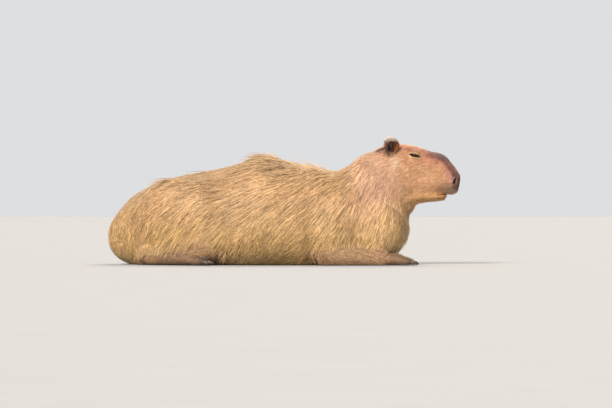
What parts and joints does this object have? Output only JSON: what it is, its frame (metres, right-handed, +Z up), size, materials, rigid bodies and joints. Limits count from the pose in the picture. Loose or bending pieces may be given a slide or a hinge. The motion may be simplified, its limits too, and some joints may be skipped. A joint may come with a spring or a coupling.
{
  "type": "capybara figure",
  "caption": "Life-size capybara lying on its belly with its head raised, legs folded beside it and a coarse tan coat.",
  "frame": {"origin": "centre of the bounding box's base, on the floor the animal lies on", "axes": "+X towards the nose, +Y to the animal's left, +Z up"},
  "size_m": [1.048, 0.4174, 0.373],
  "materials": {
    "coat": "coarse bristly tan hair, matte",
    "face": "short flat hair, matte",
    "foot": "sparse dark hair over creased skin, matte",
    "horn": "dark horn, slightly worn",
    "eye": "wet and dark"
  },
  "bodies": {
    "root": {"torso": "coat", "neck": "coat", "head": "face", "ear_left": "face", "eye_left": "eye", "upper_foreleg_left": "coat", "forearm_left": "coat", "forefoot_left": "foot", "thigh_left": "coat", "shank_left": "coat", "hind_foot_left": "foot", "fore_claw_left_1": "horn", "fore_claw_left_2": "horn", "fore_claw_left_3": "horn", "fore_claw_left_4": "horn", "hind_claw_left_1": "horn", "hind_claw_left_2": "horn", "hind_claw_left_3": "horn", "ear_right": "face", "eye_right": "eye", "upper_foreleg_right": "coat", "forearm_right": "coat", "forefoot_right": "foot", "thigh_right": "coat", "shank_right": "coat", "hind_foot_right": "foot", "fore_claw_right_1": "horn", "fore_claw_right_2": "horn", "fore_claw_right_3": "horn", "fore_claw_right_4": "horn", "hind_claw_right_1": "horn", "hind_claw_right_2": "horn", "hind_claw_right_3": "horn"}
  },
  "joints": []
}
